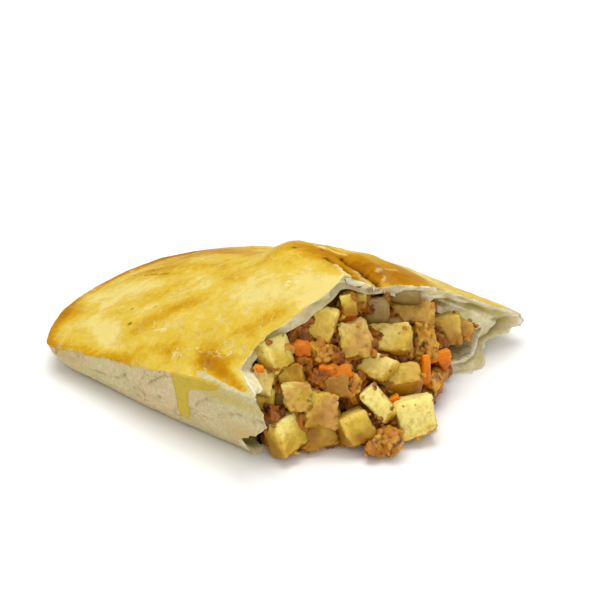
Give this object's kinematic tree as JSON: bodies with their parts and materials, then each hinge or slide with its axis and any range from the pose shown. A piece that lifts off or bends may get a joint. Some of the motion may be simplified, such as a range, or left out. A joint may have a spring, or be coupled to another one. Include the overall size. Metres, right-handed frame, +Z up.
{
  "type": "cornish pasty",
  "caption": "Half of a baked pasty, cut across the middle: glazed hollow crust on a flat base, open at the cut, with a chunky potato, carrot, onion and mince filling spilling out.",
  "frame": {"origin": "middle of the bounding box, on the flat base that the half pasty rests on", "axes": "+X from the closed tip towards the cut and the spilled filling, +Y from the folded side towards the pressed seam, +Z up"},
  "size_m": [0.1114, 0.0988, 0.0377],
  "materials": {
    "crust": "baked shortcrust pastry, egg-glazed golden on top, pale and dry below",
    "filling": "moist cooked potato, carrot, onion and minced meat"
  },
  "bodies": {
    "root": {"crust": "crust", "filling": "filling"}
  },
  "joints": []
}
